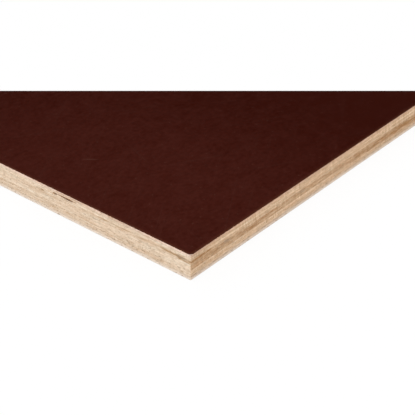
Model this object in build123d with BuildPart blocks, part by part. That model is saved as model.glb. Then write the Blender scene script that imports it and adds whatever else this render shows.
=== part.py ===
from build123d import *
import os

# A film-faced birch plywood sheet, lying flat. Every size is in millimetres.
# The origin is the middle of the underside. +X runs along the sheet's length,
# +Y across its width and +Z up. The near corner is the one at low X and low Y.

# The pressed and trimmed sheet
sheet_length = 2440.0
sheet_width = 1220.0
sheet_thickness = 18.0

# What it is glued up from: an odd number of birch veneers between two phenolic films
veneer_count = 13
film_thickness = 0.18

# The sawn upright corners are only just rounded by handling
corner_radius = 0.5

# At the near corner a small triangle of the top film has flaked off
film_clip = 1.9
film_clip_rounding = 0.8

# A join that was left open in one core veneer shows on the short edge at low X.
# A long slit and a small pit are hollowed into that veneer's upper face.
# Each place is a distance from the near corner, along the short edge.
gap_veneer = 3
slit_place = 101.2
slit_width = 11.4
slit_height = 1.1
slit_reach = 30.0
pit_place = 112.2
pit_width = 3.0
pit_height = 1.1
pit_reach = 6.0

# The stack is face to face, so the veneers share what the films leave
veneer_thickness = (sheet_thickness - 2 * film_thickness) / veneer_count
top_film_base = sheet_thickness - film_thickness

os.makedirs("parts", exist_ok=True)


def finish(piece, name):
    """Give a piece its name and write it to its own file."""
    piece.part.label = name
    export_step(piece.part, f"parts/{name}.step")


def sawn_outline(base):
    """Draw the whole sheet's outline at a height, its corners just rounded."""
    with BuildSketch(Plane.XY.offset(base)) as outline:
        RectangleRounded(sheet_length, sheet_width, corner_radius)
    return outline.sketch


def hollow_mouth(veneer_top, place, width, height):
    """Draw a hollow's arched mouth on the short edge, hanging from a veneer's upper face."""
    short_edge = Plane(
        origin=(-sheet_length / 2, -sheet_width / 2 + place, veneer_top),
        x_dir=(0, 1, 0),
        z_dir=(1, 0, 0),
    )
    with BuildSketch(short_edge) as mouth:
        with BuildLine():
            rim = Line((-width / 2, 0), (width / 2, 0))
            ThreePointArc(rim @ 1, (0, -height), rim @ 0)
        make_face()
    return mouth.sketch


# Top film, with the flake gone from its near corner
near_corner = Vertex(-sheet_length / 2, -sheet_width / 2, top_film_base)
with BuildPart() as film_top:
    with BuildSketch(Plane.XY.offset(top_film_base)):
        Rectangle(sheet_length, sheet_width)
    extrude(amount=film_thickness)
    corners = film_top.edges().filter_by(Axis.Z).sort_by_distance(near_corner)
    fillet(corners[1:], corner_radius)
    corners = film_top.edges().filter_by(Axis.Z).sort_by_distance(near_corner)
    chamfer(corners[0], film_clip)
    flake_ends = film_top.edges().filter_by(Axis.Z).sort_by_distance(near_corner)[0:2]
    fillet(flake_ends, film_clip_rounding)
finish(film_top, "film_top")

# Veneers, numbered from the top film down. The odd ones lie with their grain along
# the sheet, so the two faces are odd ones, and the even ones lie across it.
for number in range(1, veneer_count + 1):
    veneer_base = top_film_base - number * veneer_thickness
    with BuildPart() as veneer:
        extrude(sawn_outline(veneer_base), amount=veneer_thickness)
        if number == gap_veneer:
            veneer_top = veneer_base + veneer_thickness
            slit = hollow_mouth(veneer_top, slit_place, slit_width, slit_height)
            extrude(slit, amount=slit_reach, mode=Mode.SUBTRACT)
            pit = hollow_mouth(veneer_top, pit_place, pit_width, pit_height)
            extrude(pit, amount=pit_reach, mode=Mode.SUBTRACT)
    finish(veneer, f"veneer_{number:02d}")

# Bottom film, whole to its corners
with BuildPart() as film_bottom:
    extrude(sawn_outline(0), amount=film_thickness)
finish(film_bottom, "film_bottom")
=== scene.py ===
# %% [markdown]
# # A film-faced plywood sheet
# This notebook dresses one full sheet of birch plywood, 2440 by 1220 by 18 mm, lying flat.
# Two thin phenolic films cover its faces, and thirteen birch veneers show in its sawn edges.
# The solids come finished from the CAD model, so the work here is the camera, the light and
# above all the surfaces: each veneer shows end grain on one edge and long grain on the next.

import math

import bpy
from mathutils import Matrix, Vector


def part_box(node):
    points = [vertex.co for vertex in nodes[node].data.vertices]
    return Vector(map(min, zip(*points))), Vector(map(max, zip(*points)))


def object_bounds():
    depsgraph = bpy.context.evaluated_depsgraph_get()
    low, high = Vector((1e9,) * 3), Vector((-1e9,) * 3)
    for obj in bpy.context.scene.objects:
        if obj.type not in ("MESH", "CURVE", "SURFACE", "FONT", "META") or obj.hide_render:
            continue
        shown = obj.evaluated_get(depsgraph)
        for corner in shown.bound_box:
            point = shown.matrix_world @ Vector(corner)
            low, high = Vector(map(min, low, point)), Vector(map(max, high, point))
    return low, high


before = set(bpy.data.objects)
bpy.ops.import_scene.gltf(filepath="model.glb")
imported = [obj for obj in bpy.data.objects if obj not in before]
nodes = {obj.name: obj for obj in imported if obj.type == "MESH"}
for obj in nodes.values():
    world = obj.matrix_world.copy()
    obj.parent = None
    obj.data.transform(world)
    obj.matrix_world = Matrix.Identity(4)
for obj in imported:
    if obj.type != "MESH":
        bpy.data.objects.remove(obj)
cad_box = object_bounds()

millimetre = 0.001
sheet_low, sheet_high = cad_box
sheet_size = [side / millimetre for side in sheet_high - sheet_low]
veneer_names = sorted(name for name in nodes if name.startswith("veneer"))
print("sheet", [round(side, 1) for side in sheet_size], "mm")
print(len(veneer_names), "veneers and", len(nodes) - len(veneer_names), "films")

# %% [markdown]
# ## The camera
# The picture is taken close to one corner, looking down on it with a long lens, so that the
# corner points at the viewer and both edges run off into the distance. A place in this scene
# is easiest to give from that near corner: so many millimetres along the long edge, along the
# short edge, and up from the floor.
# A camera can be aimed by an Empty, or by angles. Angles are used, because the small roll of a
# hand-held picture can then be given too.

# %% Camera
near_corner = Vector((sheet_low.x, sheet_low.y, sheet_low.z))
image_size = 415
half_image = image_size / 2
sensor_width = 36.0
heading = math.radians(38.79)
look_down = math.radians(32.35)
roll = math.radians(1.11)
quarter_turn = math.pi / 2


def from_corner(along, across, up):
    """A place in metres, from millimetres along the long edge, along the short edge and up."""
    return near_corner + Vector((along, across, up)) * millimetre


camera_data = bpy.data.cameras.new("photo_camera")
camera_data.sensor_width = sensor_width
camera_data.lens = 106.2
camera_data.clip_start = 0.5 * millimetre
camera = bpy.data.objects.new("photo_camera", camera_data)
bpy.context.collection.objects.link(camera)
aim = (
    Matrix.Rotation(heading - quarter_turn, 4, "Z")
    @ Matrix.Rotation(quarter_turn - look_down, 4, "X")
    @ Matrix.Rotation(roll, 4, "Z")
)
camera.matrix_world = Matrix.Translation(from_corner(-452.5, -375.4, 423.6)) @ aim
bpy.context.scene.camera = camera
bpy.context.view_layer.update()
print("camera", [round(value, 4) for value in camera.matrix_world.translation])

# %% [markdown]
# ## Where things fall in the picture
# To see whether the camera is right, it helps to know where a place in the scene falls in the
# picture. Blender has a helper for this, but it goes by the scene's own render size, so the
# same sum is done here for a square picture. Its pixels are counted from the top left.

# %% From a place to a pixel
focal_pixels = camera_data.lens / sensor_width * image_size


def in_picture(place):
    """Where a place in the scene falls in the square picture, in pixels from its top left."""
    seen = camera.matrix_world.inverted() @ place
    return half_image - seen.x / seen.z * focal_pixels, half_image + seen.y / seen.z * focal_pixels


for label, place in (("upper tip", (0, 0, sheet_size[2])), ("lower tip", (0, 0, 0))):
    print(label, [round(value, 1) for value in in_picture(from_corner(*place))])

# %% [markdown]
# ## Node helpers
# Every surface here is made by shader nodes. They can be joined by hand in the editor, but
# there are hundreds of them, and code is quicker once a few small helpers exist. The first
# ones give colours as a paint card does, join two sockets or type a value in, and add a node.

# %% Helpers that add and join nodes


def paint(red, green, blue):
    """A colour as a paint card gives it, 0 to 255, in the linear numbers that shaders use."""
    def linear(value):
        share = value / 255
        return share / 12.92 if share <= 0.04045 else ((share + 0.055) / 1.055) ** 2.4
    return (linear(red), linear(green), linear(blue), 1.0)


def wire(tree, source, socket):
    """Join a source socket to a socket, or type a plain value into it."""
    if isinstance(source, bpy.types.NodeSocket):
        tree.links.new(source, socket)
    else:
        socket.default_value = source


def add(tree, kind, inputs=None, **settings):
    """Add a node, set its options, and wire its inputs by name or number."""
    node = tree.nodes.new(kind)
    for option, value in settings.items():
        setattr(node, option, value)
    for key, source in (inputs or {}).items():
        wire(tree, source, node.inputs[key])
    return node


print("a middle grey is", [round(value, 3) for value in paint(128, 128, 128)[:3]])

# %% [markdown]
# ## Sums with nodes
# A shader works out its patterns with Math nodes, one step to a node. These helpers make a
# step look like a call, so that a long sum can be read from top to bottom. Each one adds its
# nodes to the tree that it is given, and gives back the socket that holds the answer.

# %% Helpers for arithmetic


def sums(tree, operation, *values, clamp=False):
    """One step of arithmetic on numbers or value sockets."""
    inputs = dict(enumerate(values))
    return add(tree, "ShaderNodeMath", inputs, operation=operation, use_clamp=clamp).outputs[0]


def times(tree, first, second):
    """The product of two values."""
    return sums(tree, "MULTIPLY", first, second)


def centred(tree, value):
    """A value from 0 to 1, moved so that it swings around 0."""
    return sums(tree, "SUBTRACT", value, 0.5)


def vectors(tree, operation, *values):
    """One step of arithmetic on vectors."""
    inputs = dict(enumerate(values))
    return add(tree, "ShaderNodeVectorMath", inputs, operation=operation).outputs[0]


def split(tree, vector):
    """The X, Y and Z of a vector."""
    return add(tree, "ShaderNodeSeparateXYZ", {0: vector}).outputs


def join(tree, x, y, z):
    """A vector from its X, Y and Z."""
    return add(tree, "ShaderNodeCombineXYZ", {0: x, 1: y, 2: z}).outputs[0]


def between(tree, share, first, second):
    """The value a share of the way from the first to the second."""
    return add(tree, "ShaderNodeMix", {0: share, 2: first, 3: second}).outputs[0]


def ease(tree, value, low, high, out_low=0.0, out_high=1.0):
    """Map a value from one range to another, smoothly and without going past either end."""
    inputs = {"Value": value, 1: low, 2: high, 3: out_low, 4: out_high}
    return add(tree, "ShaderNodeMapRange", inputs, interpolation_type="SMOOTHSTEP").outputs[0]


helpers = (sums, times, centred, vectors, split, join, between, ease)
print("sums are made with", ", ".join(helper.__name__ for helper in helpers))

# %% [markdown]
# ## Patterns and colours
# The textures are solid ones, worked out from the place of each point in millimetres from the
# near corner, so that a pattern's size can be given as a real one. An image wrapped around the
# sheet could not run through its thickness as wood grain does.
# The tones of wood and stain differ most in blue and least in red, so the helper that lightens
# or darkens a colour has a share for each of the three.

# %% Helpers for patterns and colours
tone_shares = (0.75, 1.0, 1.3)


def patches(tree, place, size, detail=2.0, roughness=0.5):
    """Soft random values from 0 to 1, in patches of about the given size in millimetres."""
    spread = vectors(tree, "DIVIDE", place, size)
    inputs = {"Vector": spread, "Scale": 1.0, "Detail": detail, "Roughness": roughness}
    return add(tree, "ShaderNodeTexNoise", inputs).outputs["Fac"]


def cells(tree, place, size, **settings):
    """A pattern of cells of about the given size in millimetres, one random point in each."""
    spread = vectors(tree, "DIVIDE", place, size)
    return add(tree, "ShaderNodeTexVoronoi", {"Vector": spread, "Scale": 1.0}, **settings).outputs


def blend(tree, share, first, second, how="MIX"):
    """Mix two colours by a share from 0 to 1."""
    node = add(tree, "ShaderNodeMix", data_type="RGBA", blend_type=how)
    wire(tree, share, node.inputs[0])
    wire(tree, first, node.inputs[6])
    wire(tree, second, node.inputs[7])
    return node.outputs[2]


def brighten(tree, colour, amount, strength, shares=tone_shares):
    """Lighten or darken a colour by an amount around 0, with a share for red, green and blue."""
    gains = [sums(tree, "MULTIPLY_ADD", amount, strength * share, 1.0) for share in shares]
    gain = add(tree, "ShaderNodeCombineColor", dict(enumerate(gains))).outputs[0]
    return blend(tree, 1.0, colour, gain, "MULTIPLY")


def place_in_mm(tree):
    """The place of each point, in millimetres from the near corner."""
    place = add(tree, "ShaderNodeTexCoord").outputs["Object"]
    offset = vectors(tree, "SUBTRACT", place, tuple(near_corner))
    return vectors(tree, "MULTIPLY", offset, (1 / millimetre,) * 3)


def facing(tree):
    """How squarely each point faces along X, Y and Z, from 0 to 1."""
    normal = add(tree, "ShaderNodeNewGeometry").outputs["Normal"]
    return split(tree, vectors(tree, "ABSOLUTE", normal))


print("a brighter tone gains", tone_shares, "in red, green and blue")

# %% [markdown]
# ## Groups and materials
# A node group is a small machine with named sockets. It is built once and placed in each
# material that needs it, with that material's own values typed in. Copied nodes would do the
# same work, but a change would then have to be made thirteen times.

# %% Helpers for groups and materials


def new_group(name, inputs, outputs):
    """Open a shader node group. Sockets are given as name: (type, default)."""
    tree = bpy.data.node_groups.new(name, "ShaderNodeTree")
    for label, (kind, default) in inputs.items():
        socket = tree.interface.new_socket(label, in_out="INPUT", socket_type=f"NodeSocket{kind}")
        socket.default_value = default
    for label, kind in outputs.items():
        tree.interface.new_socket(label, in_out="OUTPUT", socket_type=f"NodeSocket{kind}")
    source = tree.nodes.new("NodeGroupInput")
    result = tree.nodes.new("NodeGroupOutput")
    return tree, source.outputs, result.inputs


def use_group(tree, group, **values):
    """Place a node group in a tree. Underscores in the names stand for spaces."""
    node = add(tree, "ShaderNodeGroup", node_tree=group)
    for label, value in values.items():
        wire(tree, value, node.inputs[label.replace("_", " ")])
    return node.outputs


def new_material(name):
    """A material with one Principled shader. Gives the material, its nodes and the shader."""
    material = bpy.data.materials.new(name)
    material.use_nodes = True
    tree = material.node_tree
    return material, tree, tree.nodes["Principled BSDF"]


def dress(node, material):
    """Put a material in a CAD node's slots."""
    if not node.data.materials:
        node.data.materials.append(material)
    for slot in node.material_slots:
        slot.material = material


print(len(nodes), "solids wait for a material")

# %% [markdown]
# ## Floor and backdrop
# The sheet lies on pure white, as a catalogue shows it. A very strong light could burn a grey
# floor out to white, but it would bleach the wood too. Instead the Light Path node lets the
# floor and the room show a plain white to the camera, and to rays that a gloss or a glass sends
# on, while they light the sheet at an ordinary level. The floor keeps a small share of its real
# shading, and with it the soft contact shadow.

# %% Floor
floor_reach = 14.0
floor_gap = 0.2 * millimetre
floor_colour = (0.95, 0.95, 0.95, 1)
plain_white = (1, 1, 1, 1)
shadow_share = 0.14


def shown_to(tree, *ways):
    """1 for the kinds of ray that are named, and 0 for the others."""
    path = add(tree, "ShaderNodeLightPath").outputs
    share = path[f"Is {ways[0]} Ray"]
    for way in ways[1:]:
        share = sums(tree, "MAXIMUM", share, path[f"Is {way} Ray"])
    return share


floor_mesh = bpy.data.meshes.new("floor")
signs = [(-1, -1), (1, -1), (1, 1), (-1, 1)]
floor_corners = [(x * floor_reach, y * floor_reach, 0) for x, y in signs]
floor_mesh.from_pydata(floor_corners, [], [(0, 1, 2, 3)])
floor = bpy.data.objects.new("floor", floor_mesh)
bpy.context.collection.objects.link(floor)
floor.location.z = sheet_low.z - floor_gap

floor_paint, tree, shader = new_material("white floor")
tree.nodes.remove(shader)
matt = add(tree, "ShaderNodeBsdfDiffuse", {"Color": floor_colour})
white = add(tree, "ShaderNodeEmission", {"Color": plain_white, "Strength": 1.0})
share = times(tree, shown_to(tree, "Camera", "Transmission", "Glossy"), 1 - shadow_share)
mixed = add(tree, "ShaderNodeMixShader", {0: share, 1: matt.outputs[0], 2: white.outputs[0]})
wire(tree, mixed.outputs[0], tree.nodes["Material Output"].inputs["Surface"])
floor_mesh.materials.append(floor_paint)
print("floor", floor_reach * 2, "m square")

# %% [markdown]
# ## The white room
# A white room around the sheet lights it evenly from all sides. The dark film needs a studio
# trick with it. Seen at a slant, it would mirror a white ceiling and turn milky, so a
# photographer hangs black cloth up there. Here the gloss sees the white backdrop round the
# horizon, and a dark ceiling above it. The numbers for where one ends and the other starts are
# heights in the view direction, from 0 at the horizon to 1 straight up.

# %% World
room_light = 0.72
ceiling_in_gloss = 0.01
backdrop_top = 0.02
ceiling_start = 0.12

world = bpy.data.worlds.new("white room")
bpy.context.scene.world = world
world.use_nodes = True
tree = world.node_tree
direction = add(tree, "ShaderNodeTexCoord").outputs["Generated"]
upward = split(tree, direction)["Z"]
in_gloss = ease(tree, upward, backdrop_top, ceiling_start, 1.0, ceiling_in_gloss)
lighting = between(tree, shown_to(tree, "Glossy"), room_light, in_gloss)
strength = between(tree, shown_to(tree, "Camera", "Transmission"), lighting, 1.0)
wire(tree, plain_white, tree.nodes["Background"].inputs["Color"])
wire(tree, strength, tree.nodes["Background"].inputs["Strength"])
print("the room lights the sheet with a strength of", room_light)

# %% [markdown]
# ## The lamp
# One broad soft lamp from the left gives the short edge its brightness and leaves the long edge
# in half shade. A sun lamp with a wide angle is used for it, because its light is the same all
# over a sheet this long, while an area lamp near one corner would leave the far end dark.

# %% Lamp
lamp_strength = 1.45
lamp_width = math.radians(40)
lamp_from = Vector((-0.62, -0.16, 0.77))

lamp_data = bpy.data.lights.new("soft lamp", "SUN")
lamp_data.energy = lamp_strength
lamp_data.angle = lamp_width
lamp = bpy.data.objects.new("soft lamp", lamp_data)
bpy.context.collection.objects.link(lamp)
lamp.rotation_euler = lamp_from.to_track_quat("Z", "Y").to_euler()

bpy.context.scene.view_settings.view_transform = "Standard"
print("lamp strength", lamp_strength)

# %% [markdown]
# ## The picture's white margin
# The picture is wide and low, and stands on a square with white above and below. A small white
# card just before the lens gives the same margin above. It is two millimetres from the lens and
# less than one across, so no other view meets it, and it takes no part in the lighting.

# %% Margin card
margin_bottom = 90.8
overlap = 4
card_distance = 2 * millimetre


def on_card(x, y):
    """The point on the card's plane that covers a pixel of the picture."""
    right = (x - half_image) / focal_pixels
    up = (half_image - y) / focal_pixels
    return Vector((right, up, -1)) * card_distance


card_corners = [
    on_card(-overlap, -overlap),
    on_card(image_size + overlap, -overlap),
    on_card(image_size + overlap, margin_bottom),
    on_card(-overlap, margin_bottom),
]
card_mesh = bpy.data.meshes.new("margin_card")
card_mesh.from_pydata(card_corners, [], [(0, 1, 2, 3)])
card_mesh.transform(camera.matrix_world)
card = bpy.data.objects.new("margin_card", card_mesh)
bpy.context.collection.objects.link(card)
for ray in ("diffuse", "glossy", "transmission", "volume_scatter", "shadow"):
    setattr(card, f"visible_{ray}", False)

card_paint, tree, shader = new_material("white card")
tree.nodes.remove(shader)
white = add(tree, "ShaderNodeEmission", {"Color": plain_white, "Strength": 1.0})
wire(tree, white.outputs[0], tree.nodes["Material Output"].inputs["Surface"])
card_mesh.materials.append(card_paint)
print("card", [round(side, 5) for side in card.dimensions], "m")

# %% [markdown]
# ## Marks with a place of their own
# Most of the wood's pattern may fall where it likes, but a stain, a knot or a crack is in one
# place. A round gradient would look airbrushed. So this group measures how far each point is
# from a centre, with a reach of its own along each axis, and lets a little noise fray the rim.

# %% Node group for a soft patch
fray_size = (3.2, 3.2, 1.1)
full_within = 0.25

group, given, result = new_group(
    "Soft patch",
    {
        "Place": ("Vector", (0, 0, 0)),
        "Centre": ("Vector", (0, 0, 0)),
        "Reach": ("Vector", (1, 1, 1)),
        "Fray": ("Float", 0.4),
    },
    {"Mask": "Float"},
)
offset = vectors(group, "SUBTRACT", given["Place"], given["Centre"])
offset = vectors(group, "DIVIDE", offset, given["Reach"])
distance = add(group, "ShaderNodeVectorMath", {0: offset}, operation="LENGTH").outputs["Value"]
ragged = patches(group, given["Place"], fray_size, detail=3.0, roughness=0.6)
ragged = times(group, centred(group, ragged), given["Fray"])
frayed = sums(group, "MULTIPLY_ADD", ragged, 2.0, distance)
wire(group, ease(group, frayed, full_within, 1.0, 1.0, 0.0), result["Mask"])
soft_patch = group
print(group.name, "has", len(group.nodes), "nodes")

# %% [markdown]
# ## Saw marks
# The sheet was trimmed with a circular saw. Each tooth leaves a faint upright line, leaning
# with the blade's curve, and the lines are plain in some stretches and faint in others. They
# are plainest at the top of the near corner, where the blade came in.
# All the veneers were cut in one pass, so the marks run through them without a break: one
# group, which reads only the place on the edge, keeps them in line from one veneer's material
# to the next.

# %% Node group for saw marks
line_height = 26.0
stretch_size = (26.0, 9.0, 1.0)
entry_run = (3.0, 18.0)
entry_height = (12.5, 15.5)
entry_force = 1.6
faint_force = 0.35
plain_force = 2.0
stretch_range = (0.42, 0.62)
short_edge_share = 0.32
other_edge = 37.0

group, given, result = new_group(
    "Saw marks",
    {"Place": ("Vector", (0, 0, 0)), "Spacing": ("Float", 1.2), "Lean": ("Float", 0.25)},
    {"Stripe": "Float"},
)
x, y, z = split(group, given["Place"])
faces = facing(group)
run = between(group, faces["X"], x, y)
leaning = sums(group, "MULTIPLY_ADD", z, given["Lean"], run)
turn = sums(group, "DIVIDE", leaning, given["Spacing"])
edge_number = times(group, faces["X"], other_edge)
line_place = join(group, turn, sums(group, "DIVIDE", z, line_height), edge_number)
teeth = patches(group, line_place, (1, 1, 1), detail=1.0)
stretch = patches(group, join(group, run, z, edge_number), stretch_size, detail=1.0)
came_in = ease(group, run, *entry_run, 1.0, 0.0)
entry = times(group, came_in, ease(group, z, *entry_height))
force = ease(group, stretch, *stretch_range, faint_force, plain_force)
force = sums(group, "MULTIPLY_ADD", entry, entry_force, force)
stripe = times(group, centred(group, teeth), force)
stripe = times(group, stripe, between(group, faces["X"], 1.0, short_edge_share))
wire(group, stripe, result["Stripe"])
saw_marks = group
print(group.name, "has", len(group.nodes), "nodes")

# %% [markdown]
# ## Birch veneer: its directions
# Each veneer is peeled from a turning log as one long ribbon, so its growth rings lie nearly
# flat in it. Odd veneers lie with their grain along the sheet and even ones across it, so each
# sawn edge shows long grain and end grain by turns.
# Painted textures would take fifty-two pictures, for thirteen veneers on four edges. One solid
# pattern, stretched along the grain and turned for the even veneers, gives all of them from the
# same nodes, as sawing real wood would. So the group starts with the wood's own directions:
# along the grain, aside from it, and up through the veneer.

# %% Node group for birch veneer: sockets and directions
seed_step = 731.0

group, given, result = new_group(
    "Birch veneer",
    {
        "Place": ("Vector", (0, 0, 0)),
        "Across": ("Float", 0.0),
        "Underside": ("Float", 0.0),
        "Thickness": ("Float", 1.4),
        "Seed": ("Float", 0.0),
        "Short edge heartwood": ("Float", 0.0),
        "Long edge heartwood": ("Float", 0.0),
        "Stain": ("Float", 0.0),
        "Sapwood colour": ("Color", (1, 1, 1, 1)),
        "Heartwood colour": ("Color", (1, 1, 1, 1)),
        "Long edge ageing": ("Color", (1, 1, 1, 1)),
    },
    {"Colour": "Color", "Roughness": "Float", "Relief": "Float", "Pits": "Float"},
)
x, y, z = split(group, given["Place"])
faces = facing(group)
swap = given["Across"]
along = between(group, swap, x, y)
aside = between(group, swap, y, x)
end_grain = between(group, swap, faces["X"], faces["Y"])
shift = times(group, given["Seed"], seed_step)
wood = join(group, sums(group, "ADD", along, shift), sums(group, "ADD", aside, shift), z)
print(group.name, "starts with", len(group.nodes), "nodes")

# %% [markdown]
# ## Birch veneer: its tint
# Sapwood is pale and heartwood brown. Heartwood comes and goes in broad clouds, stains add to
# it, and small blotches break both up. The long edge's colour is multiplied by a warmer, yellower
# tint: painted warm light on that side.
# All the sizes below are in millimetres along the grain, aside from it and through the veneer.

# %% Node group for birch veneer: heartwood, stains and painted warm light
cloud_size = (60.0, 24.0, 1.2)
blotch_size = (7.0, 4.0, 1.3)
cloud_swing = 0.15
blotch_swing = 0.38
blotch_shift = (9.0, 9.0, 9.0)

# Nearly all the values of a noise lie in this middle part of 0 to 1
middle_range = (0.3, 0.7)

cloud = patches(group, wood, cloud_size, detail=4.0, roughness=0.6)
heart = between(group, faces["Y"], given["Short edge heartwood"], given["Long edge heartwood"])
heart = sums(group, "ADD", heart, ease(group, cloud, *middle_range, -cloud_swing, cloud_swing))
heart = sums(group, "ADD", heart, given["Stain"])
blotch_place = vectors(group, "ADD", wood, blotch_shift)
blotch = patches(group, blotch_place, blotch_size, detail=3.0, roughness=0.6)
blotch = ease(group, blotch, *middle_range, 1 - blotch_swing, 1 + blotch_swing)
heart = sums(group, "MULTIPLY", heart, blotch, clamp=True)
lit = blend(group, heart, given["Sapwood colour"], given["Heartwood colour"])
# The long edge is tinted warmer and yellower: painted warm light on that side
warm_lit = blend(group, 1.0, lit, given["Long edge ageing"], "MULTIPLY")
lit = blend(group, faces["Y"], lit, warm_lit)
print(group.name, "has", len(group.nodes), "nodes with its tint")

# %% [markdown]
# ## Birch veneer: rings and torn fibres
# The growth rings are thin layers that drift slowly through the thickness, so on long grain
# they show as fine streaks. The saw tears the fibres into a coarse mottle, drawn out along the
# grain. Over both, the hue drifts from a pinkish to a greenish yellow. Each is a noise,
# stretched to the size of the real pattern, that shifts the tint a little.

# %% Node group for birch veneer: rings, fibres and hue
drift_size = (60.0, 16.0, 50.0)
ring_size = (45.0, 9.0, 0.5)
tuft_size = (5.0, 2.1, 1.15)
coarse_size = (11.0, 4.5, 2.2)
hue_size = (16.0, 11.0, 3.5)
hue_shares = (0.12, -0.06, -0.16)
hue_shift = (50.0, 50.0, 50.0)
drift_height = 0.9
ring_contrast = 0.22
tuft_contrast = 0.95
coarse_contrast = 0.35
hue_contrast = 1.0

drift = times(group, patches(group, wood, drift_size), drift_height)
layered = join(group, along, aside, sums(group, "ADD", z, drift))
layered = vectors(group, "ADD", layered, join(group, shift, shift, 0.0))
rings = patches(group, layered, ring_size, detail=2.0, roughness=0.6)
lit = brighten(group, lit, centred(group, rings), ring_contrast)

tuft = centred(group, patches(group, wood, tuft_size, detail=4.0, roughness=0.68))
lit = brighten(group, lit, tuft, tuft_contrast)
coarse = patches(group, wood, coarse_size, detail=2.0)
lit = brighten(group, lit, centred(group, coarse), coarse_contrast)

hue = patches(group, vectors(group, "ADD", wood, hue_shift), hue_size, detail=2.0)
lit = brighten(group, lit, centred(group, hue), hue_contrast, hue_shares)
print(group.name, "has", len(group.nodes), "nodes with its rings")

# %% [markdown]
# ## Birch veneer: pits and pores
# Where a whole bundle of fibres came out, the saw leaves a small dark pit. Pits are sparse, and
# darkest at the foot of the edge, where the saw's teeth left the sheet. Birch also has fine
# pores, which a pattern of cells gives better than noise: one dot in each cell, drawn out along
# the grain. End grain drinks in the light, so it is a shade darker.

# %% Node group for birch veneer: pits, end grain and pores
pit_size = (3.8, 1.9, 0.9)
pit_range = (0.58, 0.71)
pit_at_foot = 0.66
pit_at_top = 0.32
foot_to_top = (5.0, 15.0)
pore_spacing = (4.5, 0.28, 0.28)
pore_range = (0.16, 0.34)
pore_strength = 0.2
pit_shade = (0.30, 0.20, 0.12, 1)
end_grain_shade = (0.97, 0.95, 0.93, 1)
pore_shade = (0.18, 0.09, 0.045, 1)

pits = ease(group, patches(group, wood, pit_size, detail=1.5), *pit_range)
tear = ease(group, z, *foot_to_top, pit_at_foot, pit_at_top)
lit = blend(group, times(group, pits, tear), lit, pit_shade)
darker_end = blend(group, 1.0, lit, end_grain_shade, "MULTIPLY")
lit = blend(group, end_grain, lit, darker_end)
pores = ease(group, cells(group, wood, pore_spacing)["Distance"], *pore_range, 1.0, 0.0)
lit = blend(group, times(group, pores, pore_strength), lit, pore_shade)
print(group.name, "has", len(group.nodes), "nodes with its pores")

# %% [markdown]
# ## Birch veneer: lathe checks and glue
# The peeling knife bends the veneer as it cuts, and opens small slanting cracks in its
# underside. On end grain they show as hairlines from the underside to about mid-thickness.
# The height of each point in its veneer, from 0 to 1, places them. It places the glue too: a
# thin brown line at each joint, which comes and goes along the edge.

# %% Node group for birch veneer: lathe checks and glue
check_spacing = 1.9
check_wander = 2.2
check_slant = 0.9
bend_size = (2.4, 2.4, 2.4)
check_width = 0.055
check_height = (0.35, 0.75)
check_strength = 0.3
check_shade = (0.16, 0.08, 0.04, 1)
squeeze_size = (11.0, 11.0, 2.5)
squeeze_range = (0.35, 0.65)
glue_height = (0.01, 0.06)
glue_strength = 0.4
glue_shade = (0.12, 0.055, 0.028, 1)

height = sums(group, "DIVIDE", sums(group, "SUBTRACT", z, given["Underside"]), given["Thickness"])
slant = sums(group, "MULTIPLY_ADD", z, check_slant, aside)
bend = patches(group, wood, bend_size, detail=1.0)
wander = sums(group, "MULTIPLY_ADD", bend, check_wander, slant)
turns = sums(group, "FRACT", sums(group, "DIVIDE", wander, check_spacing))
from_crack = sums(group, "ABSOLUTE", centred(group, turns))
checks = times(group, ease(group, from_crack, 0.0, check_width, 1.0, 0.0), end_grain)
checks = times(group, checks, ease(group, height, *check_height, 1.0, 0.0))
lit = blend(group, times(group, checks, check_strength), lit, check_shade)

from_joint = sums(group, "MINIMUM", height, sums(group, "SUBTRACT", 1.0, height))
squeeze = ease(group, patches(group, wood, squeeze_size), *squeeze_range)
glue = times(group, ease(group, from_joint, *glue_height, glue_strength, 0.0), squeeze)
lit = blend(group, glue, lit, glue_shade)
print(group.name, "has", len(group.nodes), "nodes with its glue lines")

# %% [markdown]
# ## Birch veneer: saw marks, roughness and relief
# Last come the saw's own marks, over all the veneers alike. End grain is rougher than long
# grain. The relief is one height, in metres, which each material's Bump node turns into shading:
# tufts and saw lines stand proud, while pits, pores, cracks and glue lie below the surface.
# Real displacement would need millions of faces for the same look.

# %% Node group for birch veneer: outputs
long_grain_roughness = 0.62
saw_contrast = 0.42
tuft_height = 0.16 * millimetre
added_on_end_grain = 0.16

stripe = use_group(group, saw_marks, Place=given["Place"])["Stripe"]
lit = brighten(group, lit, stripe, saw_contrast)
wire(group, lit, result["Colour"])
rough = sums(group, "MULTIPLY_ADD", end_grain, added_on_end_grain, long_grain_roughness)
wire(group, rough, result["Roughness"])

relief = times(group, tuft, tuft_height)
for pattern, rise in (
    (stripe, 0.03),
    (pits, -0.12),
    (pores, -0.03),
    (checks, -0.06),
    (glue, -0.05),
):
    relief = sums(group, "MULTIPLY_ADD", pattern, rise * millimetre, relief)
wire(group, relief, result["Relief"])
wire(group, pits, result["Pits"])
birch_veneer = group
print(group.name, "has", len(group.nodes), "nodes in all")

# %% [markdown]
# ## Painted bounce light at the foot
# The foot of the sawn edges is painted paler and greyer than the rest, on the lowest veneers and
# on the cut edge of the film below them: painted light, as the white floor throws it back up.
# A mask by height, made wavy by a little noise, gives it.

# %% Node group for painted bounce light at the foot
wave_size = (7.0, 7.0, 1.5)
wave_height = 1.6
full_bounce_below = 0.5

group, given, result = new_group(
    "Painted floor bounce",
    {"Place": ("Vector", (0, 0, 0)), "Top": ("Float", 3.0)},
    {"Mask": "Float"},
)
up = split(group, given["Place"])["Z"]
waves = patches(group, given["Place"], wave_size, detail=3.0, roughness=0.6)
wavy = sums(group, "MULTIPLY_ADD", waves, wave_height, up)
wire(group, ease(group, wavy, full_bounce_below, given["Top"], 1.0, 0.0), result["Mask"])
floor_bounce_light = group
print(group.name, "has", len(group.nodes), "nodes")
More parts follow.
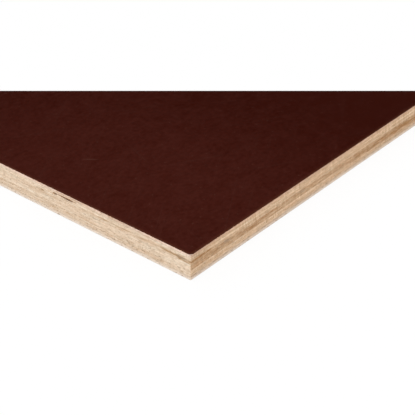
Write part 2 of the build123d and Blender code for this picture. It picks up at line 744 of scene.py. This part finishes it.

# %% [markdown]
# ## Thirteen veneers
# Each veneer came from its own log, so it has its own tint on each edge, its own seed for the
# random patterns, and its own stains. The long edge shows a brown band: three core veneers were
# peeled from near the heart of the log. The tints are written as one share of heartwood for
# each veneer and edge, because one number is easier to judge than a colour.

# %% Tints
sapwood = paint(229, 209, 186)
face_sapwood = paint(232, 205, 189)
heartwood = paint(168, 130, 87)
# A warmer, yellower tint for the long edge: painted warm light on that side
long_edge_warm_light = (1.020, 0.903, 0.780, 1.0)

# How brown each veneer is on the short and on the long edge, from the top film down
heart_of_veneer = {
    1: (0.07, 0.40),
    2: (0.24, 0.29),
    3: (0.13, 0.13),
    4: (0.30, 0.30),
    5: (0.27, 0.32),
    6: (0.21, 0.60),
    7: (0.17, 0.56),
    8: (0.18, 0.57),
    9: (0.28, 0.12),
    10: (0.38, 0.25),
    11: (0.27, 0.27),
    12: (0.54, 0.58),
    13: (0.40, 0.26),
}
print("tints for", len(heart_of_veneer), "veneers")

# %% [markdown]
# ## Stains with a place
# The stains that catch the eye are a short list of places. Each is a soft patch, given by the
# number of its veneer, its strength, and its centre and reach in millimetres from the near
# corner. Painting them on a texture would be freer, but a list is easy to read and to change.
# Brown stains make the wood more like heartwood. Grey marks mix in a colour of their own, so
# they have a list of their own.

# %% Brown stains
# A strength below zero is a pale patch
stains = [
    (1, 0.26, (0, 82, 17.2), (4, 60, 3.0)),
    # The next four, at the slit and the pit: partly stain, partly painted shade of the hollows
    (2, 0.85, (0, 102, 15.3), (4, 9, 0.9)),
    (2, 0.60, (0, 112, 15.1), (4, 3, 0.7)),
    (3, 0.25, (0, 101, 15.1), (4, 9, 1.1)),
    (3, 0.60, (0, 112.2, 15.0), (4, 3.0, 0.9)),
    (3, 0.42, (8, 0, 14.4), (13, 5, 2.0)),
    (3, 0.42, (0, 9, 13.9), (4, 9, 0.9)),
    (3, 0.38, (0, 21, 13.9), (4, 5, 0.7)),
    (4, 0.75, (9, 0, 13.0), (17, 5, 2.4)),
    (4, 0.52, (0, 9.5, 13.0), (4, 12, 1.6)),
    (4, 0.45, (0, 9, 13.2), (4, 5, 1.0)),
    (4, 0.40, (0, 21, 13.2), (4, 4, 0.8)),
    (4, 0.18, (0, 50, 13.2), (2, 52, 0.9)),
    (4, 0.22, (0, 75, 13.1), (4, 17, 1.6)),
    (4, 0.45, (0, 124, 13.3), (2, 3.0, 0.9)),
    (5, 0.40, (8, 0, 12.0), (20, 5, 2.5)),
    (5, 0.75, (0, 7, 12.2), (4, 5.5, 1.5)),
    (7, 0.40, (57, 0, 8.6), (8, 5, 1.3)),
    (5, 0.35, (34, 0, 11.2), (30, 5, 1.2)),
    (5, 0.30, (108, 0, 11.1), (34, 5, 0.8)),
    (7, 0.28, (240, 0, 9.0), (110, 5, 5)),
    (8, 0.42, (262, 0, 7.7), (115, 5, 5)),
    (8, 0.30, (240, 0, 7.7), (12, 5, 1.2)),
    (9, 0.80, (262, 0, 6.5), (150, 5, 5)),
    (10, 0.38, (280, 0, 5.0), (85, 5, 5)),
    (11, 0.25, (200, 0, 3.5), (110, 5, 5)),
    (6, -0.10, (0, 9, 10.0), (4, 20, 6)),
    (7, -0.12, (0, 9, 8.6), (4, 20, 6)),
    (8, -0.12, (0, 9, 7.3), (4, 20, 6)),
    (9, -0.15, (0, 9, 6.0), (4, 18, 6)),
    (10, -0.18, (0, 7, 5.0), (4, 16, 6)),
    (12, -0.12, (0, 140, 2.2), (4, 70, 6)),
]
print(len(stains), "brown stains and pale patches")

# %% Grey marks, where damp or a tool has discoloured the wood
grey_mark = paint(146, 132, 116)
grey_marks = [
    (5, 0.55, (33, 0, 11.7), (3.2, 5, 0.9)),
    (6, 0.45, (34.5, 0, 10.4), (4, 5, 1.3)),
    (6, 0.40, (111, 0, 10.8), (5, 5, 1.2)),
    (7, 0.35, (114, 0, 9.5), (5, 5, 1.2)),
    (4, 0.50, (0, 8, 13.1), (4, 5.5, 1.3)),
    (5, 0.25, (0, 72, 12.3), (4, 4, 0.9)),
    (3, 0.45, (0, 9.8, 13.9), (4, 2.4, 0.6)),
    (4, 0.35, (0, 6.6, 13.2), (4, 2.2, 0.8)),
    (5, 0.35, (0, 5.4, 12.2), (4, 2.2, 0.7)),
    (3, 0.45, (0, 20.8, 14.0), (4, 2.4, 0.6)),
    (4, 0.25, (0, 14, 13.4), (4, 3, 0.7)),
    (1, 0.12, (7, 0, 17.2), (16, 5, 4)),
    (2, 0.14, (7, 0, 15.8), (16, 5, 4)),
    (3, 0.08, (7, 0, 14.4), (16, 5, 4)),
    (6, 0.30, (0, 77, 10.8), (4, 4, 0.9)),
]


def marks_on(tree, place, number, marks):
    """The sum of one veneer's marks at each point, from a list of them."""
    total = 0.0
    for veneer, strength, centre, reach in marks:
        if veneer == number:
            mask = use_group(tree, soft_patch, Place=place, Centre=centre, Reach=reach)["Mask"]
            total = sums(tree, "MULTIPLY_ADD", mask, strength, total)
    return total


print(len(grey_marks), "grey marks")

# %% [markdown]
# ## The open join
# One core veneer was laid with its join not quite closed, and the CAD model has the two hollows
# that this leaves in the short edge. Their inside is painted darker: partly glue and dust stain,
# partly painted shade. It could be painted where they are, but it is simpler to say that wood
# is darker the further it lies inside the sheet. That goes for the third veneer, which has the
# hollows, and for the second, which roofs them. A dark line along the slit and a dark spot at
# the pit are partly a fine crack and partly painted shade of the hollows.

# %% Painted shade and stain of the open join
hollow_veneers = (2, 3)
# Dark brown deep inside the hollows: glue and dust stain, and painted shade
hollow_stain_and_shade = paint(96, 46, 24)
hollow_depth = (0.3, 1.9)
crack_and_hollow_shade = paint(130, 82, 52)

# Dark marks, as centre and reach, one along the slit and one at the pit: partly fine cracks,
# partly painted shade of the hollows
crack_and_shade_marks = [
    ((0, 103.5, 15.3), (2, 13, 0.5)),
    ((0, 112.2, 15.1), (2, 2.2, 0.6)),
]


def depth_inside(tree, place):
    """How far each point is from the sheet's nearest sawn edge, in millimetres."""
    at = split(tree, place)
    from_ends = sums(tree, "MINIMUM", at["X"], sums(tree, "SUBTRACT", sheet_size[0], at["X"]))
    from_sides = sums(tree, "MINIMUM", at["Y"], sums(tree, "SUBTRACT", sheet_size[1], at["Y"]))
    return sums(tree, "MINIMUM", from_ends, from_sides)


def darken_join(tree, place, colour):
    """The colour with the cracks and hollows darkened over it: partly stain, partly painted shade.
    """
    for centre, reach in crack_and_shade_marks:
        crack_and_shade_mask = use_group(tree, soft_patch, Place=place, Centre=centre, Reach=reach)["Mask"]
        colour = blend(tree, crack_and_shade_mask, colour, crack_and_hollow_shade)
    # Wood deeper inside the sheet is painted darker: partly stain, partly painted shade
    inside = ease(tree, depth_inside(tree, place), *hollow_depth)
    return blend(tree, inside, colour, hollow_stain_and_shade)


print("the hollows darken over", hollow_depth, "mm from the edge")

# %% [markdown]
# ## The veneers' materials
# Each veneer needs a material of its own, because its tint, seed and stains are its own. They
# could be thirteen hand-made materials. A function makes them all from the shared groups, and
# reads each veneer's height and thickness from its solid. Over the colour of the lowest ones
# lies painted bounce light from the white floor, thinly in their pits, which stay dark.

# %% Veneer materials
wood_specular = 0.3
# The colour and reach of the painted bounce light from the floor, paler towards the foot
bounce_light_colour = paint(229, 219, 205)
bounce_light_top = 5.0
bounce_light_cover = 0.8
bounce_lost_in_pits = 0.6


def veneer_material(number):
    """The finish of one veneer: the shared groups with its own place, seed, tint and stains."""
    low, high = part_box(f"veneer_{number:02d}")
    underside = (low.z - near_corner.z) / millimetre
    short_heart, long_heart = heart_of_veneer[number]
    on_a_face = number in (1, len(veneer_names))
    material, tree, shader = new_material(f"birch veneer {number:02d}")
    shader.inputs["Specular IOR Level"].default_value = wood_specular
    place = place_in_mm(tree)
    wood = use_group(
        tree,
        birch_veneer,
        Place=place,
        Across=float(number % 2 == 0),
        Underside=underside,
        Thickness=(high.z - low.z) / millimetre,
        Seed=float(number),
        Short_edge_heartwood=short_heart,
        Long_edge_heartwood=long_heart,
        Stain=marks_on(tree, place, number, stains),
        Sapwood_colour=face_sapwood if on_a_face else sapwood,
        Heartwood_colour=heartwood,
        Long_edge_ageing=long_edge_warm_light,
    )
    colour = blend(tree, marks_on(tree, place, number, grey_marks), wood["Colour"], grey_mark)
    if number in hollow_veneers:
        colour = darken_join(tree, place, colour)
    if underside < bounce_light_top:
        # Painted bounce light from the floor, paler towards the foot
        bounce_light = use_group(tree, floor_bounce_light, Place=place, Top=bounce_light_top)["Mask"]
        cover = sums(tree, "MULTIPLY_ADD", wood["Pits"], -bounce_lost_in_pits, bounce_light_cover)
        colour = blend(tree, times(tree, bounce_light, cover), colour, bounce_light_colour)
    wire(tree, colour, shader.inputs["Base Color"])
    wire(tree, wood["Roughness"], shader.inputs["Roughness"])
    bump = add(tree, "ShaderNodeBump", {"Height": wood["Relief"], "Strength": 1.0, "Distance": 1.0})
    wire(tree, bump.outputs[0], shader.inputs["Normal"])
    return material


for number in range(1, len(veneer_names) + 1):
    dress(nodes[f"veneer_{number:02d}"], veneer_material(number))
print(len(veneer_names), "veneers dressed, with", len(stains), "stains")

# %% [markdown]
# ## Scratches
# Handling has left hairline scratches on the film. They could be drawn as curves, but thousands
# of hairlines need no single shape. Noise stretched very long and thin, and cut off just below
# its peaks, leaves sparse straight lines. The same group, turned to several angles, gives
# scratches that cross.

# %% Node group for scratches
line_depth = 50.0
line_softness = 0.06

group, given, result = new_group(
    "Scratches",
    {
        "Place": ("Vector", (0, 0, 0)),
        "Angle": ("Float", 0.0),
        "Length": ("Float", 60.0),
        "Width": ("Float", 0.6),
        "Rarity": ("Float", 0.72),
    },
    {"Mask": "Float"},
)
turned = add(
    group,
    "ShaderNodeVectorRotate",
    {"Vector": given["Place"], "Angle": given["Angle"]},
    rotation_type="Z_AXIS",
).outputs[0]
line_size = join(group, given["Length"], given["Width"], line_depth)
lines = patches(group, turned, line_size, detail=1.0)
limit = sums(group, "ADD", given["Rarity"], line_softness)
cut_off = {"Value": lines, 1: given["Rarity"], 2: limit}
wire(group, add(group, "ShaderNodeMapRange", cut_off).outputs[0], result["Mask"])
scratches = group
print(group.name, "has", len(group.nodes), "nodes")

# %% [markdown]
# ## Phenolic film: its cloudy colour
# The film is kraft paper soaked in dark brown resin and pressed on hot. It is smooth and half
# matt, finely mottled, and a little cloudy where the resin lay thicker. Long faint streaks run
# with the sheet, weak by the near corner and stronger further off, and the face veneer's grain
# shows through very faintly. By the near corner the film is painted a lighter, warmer brown: a
# painted sheen.
# One flat brown would look like plastic. So five noises of very different sizes move the
# colour between a deep and a warm brown.

# %% Film: cloudy resin
film_deep = paint(53, 12, 4)
film_warm = paint(71, 27, 19)
film_specular = 0.1
broad_size = (420.0, 300.0, 90.0)
streak_size = (900.0, 60.0, 90.0)
film_cloud_size = (13.0, 10.0, 90.0)
mottle_size = (3.4, 2.6, 90.0)
grain_size = (150.0, 3.2, 90.0)
plain_tone = 0.03
# How far the film turns lighter and warmer by the near corner: painted sheen
corner_sheen_tone = 0.6
uneven_far = 1.2
uneven_near = 0.3

film, tree, shader = new_material("phenolic film")
shader.inputs["Specular IOR Level"].default_value = film_specular
place = place_in_mm(tree)
broad = patches(tree, place, broad_size, detail=3.0)
streaks = patches(tree, place, streak_size, detail=3.0, roughness=0.6)
clouds = patches(tree, place, film_cloud_size, detail=5.0, roughness=0.7)
mottle = patches(tree, place, mottle_size, detail=3.0, roughness=0.6)
grain = patches(tree, place, grain_size, detail=3.0, roughness=0.6)
# A lighter, warmer patch by the near corner: painted sheen on the film
corner_sheen = use_group(
    tree, soft_patch, Place=place, Centre=(0, 40, 18), Reach=(225, 310, 200), Fray=0.0
)["Mask"]
near_part = use_group(
    tree, soft_patch, Place=place, Centre=(0, 0, 18), Reach=(900, 900, 500), Fray=0.0
)["Mask"]
unevenness = between(tree, near_part, uneven_far, uneven_near)
tone = sums(tree, "MULTIPLY_ADD", corner_sheen, corner_sheen_tone, plain_tone)
for pattern, strength in (
    (broad, unevenness),
    (streaks, unevenness),
    (clouds, 1.0),
    (mottle, 1.4),
    (grain, 0.3),
):
    tone = sums(tree, "MULTIPLY_ADD", centred(tree, pattern), strength, tone)
tone.node.use_clamp = True
colour = blend(tree, tone, film_deep, film_warm)
print("the film's colour takes", len(tree.nodes), "nodes")

# %% [markdown]
# ## Phenolic film: scratches, specks and a scuff
# Scratches run in three directions. Pale specks of dust lie here and there: a flat pattern of
# cells has one point in each, and only one cell in four or so keeps its speck. Last comes one
# short scuff in a place of its own, laid along X by turning the place about its middle.

# %% Film: marks of use
film_scuffed = paint(92, 62, 52)
speck_spacing = (9.0, 9.0, 90.0)
speck_luck = (0.72, 0.76)
speck_radius = (0.03, 0.07)
scratch_strength = 0.16
speck_strength = 0.35
scuff_strength = 0.34
scuff_middle = (42, 121.5, 18)
scuff_angle = 0.9
scuff_reach = (8, 0.9, 5)

# Each kind of scratch: its angle, its length and width in millimetres, and its rarity
scratch_kinds = ((0.5, 70, 0.55, 0.70), (1.9, 45, 0.4, 0.72), (2.6, 110, 0.5, 0.72))

marks = 0.0
for angle, length, width, rarity in scratch_kinds:
    mask = use_group(
        tree, scratches, Place=place, Angle=angle, Length=length, Width=width, Rarity=rarity
    )["Mask"]
    marks = sums(tree, "MAXIMUM", mask, marks)
speck_cells = cells(tree, place, speck_spacing, voronoi_dimensions="2D")
lucky = ease(tree, split(tree, speck_cells["Color"])["X"], *speck_luck)
specks = times(tree, lucky, ease(tree, speck_cells["Distance"], *speck_radius, 1.0, 0.0))
along_scuff = add(
    tree,
    "ShaderNodeVectorRotate",
    {"Vector": place, "Center": scuff_middle, "Angle": scuff_angle},
    rotation_type="Z_AXIS",
).outputs[0]
scuff = use_group(
    tree, soft_patch, Place=along_scuff, Centre=scuff_middle, Reach=scuff_reach, Fray=0.3
)["Mask"]
for mask, strength in (
    (marks, scratch_strength),
    (specks, speck_strength),
    (scuff, scuff_strength),
):
    colour = blend(tree, times(tree, mask, strength), colour, film_scuffed)
print(len(scratch_kinds), "kinds of scratch")

# %% [markdown]
# ## Phenolic film: its rim
# The saw has worn and chipped the film's rim, where pale wood shows. How far a point is from
# the nearest edge, held against a random chip size, says whether it lies in a chip. Cutting
# the chips out of the mesh would give the same look with thousands of faces more. The lower
# film's cut edge is painted paler, with the same painted bounce light as the veneers above it.

# %% Film: rim, chips and painted bounce light
film_rim = paint(104, 62, 40)
chipped_wood = paint(186, 142, 112)
chip_spacing = (1.7, 1.7, 9.0)
largest_chip = 0.38
chip_softness = 0.08
rim_width = 2.6
rim_strength = 0.3

rim = ease(tree, depth_inside(tree, place), 0.1, rim_width, rim_strength, 0.0)
colour = blend(tree, rim, colour, film_rim)
chip_noise = patches(tree, place, chip_spacing, detail=3.0, roughness=0.6)
chip_size = ease(tree, chip_noise, 0.48, 0.75, -0.05, largest_chip)
within_chip = sums(tree, "SUBTRACT", chip_size, depth_inside(tree, place))
chips = ease(tree, within_chip, 0.0, chip_softness)
colour = blend(tree, chips, colour, chipped_wood)
# Painted bounce light from the floor on the lower film's cut edge
bounce_light = use_group(tree, floor_bounce_light, Place=place, Top=bounce_light_top)["Mask"]
cut_edge = times(tree, sums(tree, "SUBTRACT", 1.0, facing(tree)["Z"]), bounce_light)
colour = blend(tree, times(tree, cut_edge, bounce_light_cover), colour, bounce_light_colour)
wire(tree, colour, shader.inputs["Base Color"])
print("chips reach up to", largest_chip, "mm into the film")

# %% [markdown]
# ## Phenolic film: gloss and relief
# The film has a soft gloss, duller where it is scratched and chipped. Its relief is tiny: the
# hot press leaves a faint skin like orange peel, and the grain below adds a trace. Gloss shows
# even a few thousandths of a millimetre, so the heights are real ones and not made larger.

# %% Film: gloss, relief and dressing
peel_size = (1.3, 1.3, 9.0)
peel_height = 0.004 * millimetre
resin_roughness = (0.31, 0.38)
scratch_roughness = 0.12
chip_roughness = 0.35

roughness = ease(tree, clouds, *middle_range, *resin_roughness)
roughness = sums(tree, "MULTIPLY_ADD", marks, scratch_roughness, roughness)
roughness = sums(tree, "MULTIPLY_ADD", chips, chip_roughness, roughness)
wire(tree, roughness, shader.inputs["Roughness"])
relief = times(tree, patches(tree, place, peel_size), peel_height)
for pattern, rise in ((grain, 0.006), (marks, -0.004), (chips, -0.08)):
    relief = sums(tree, "MULTIPLY_ADD", pattern, rise * millimetre, relief)
bump = add(tree, "ShaderNodeBump", {"Height": relief, "Strength": 1.0, "Distance": 1.0})
wire(tree, bump.outputs[0], shader.inputs["Normal"])

for name in ("film_top", "film_bottom"):
    dress(nodes[name], film)
print("films dressed with", len(tree.nodes), "nodes")
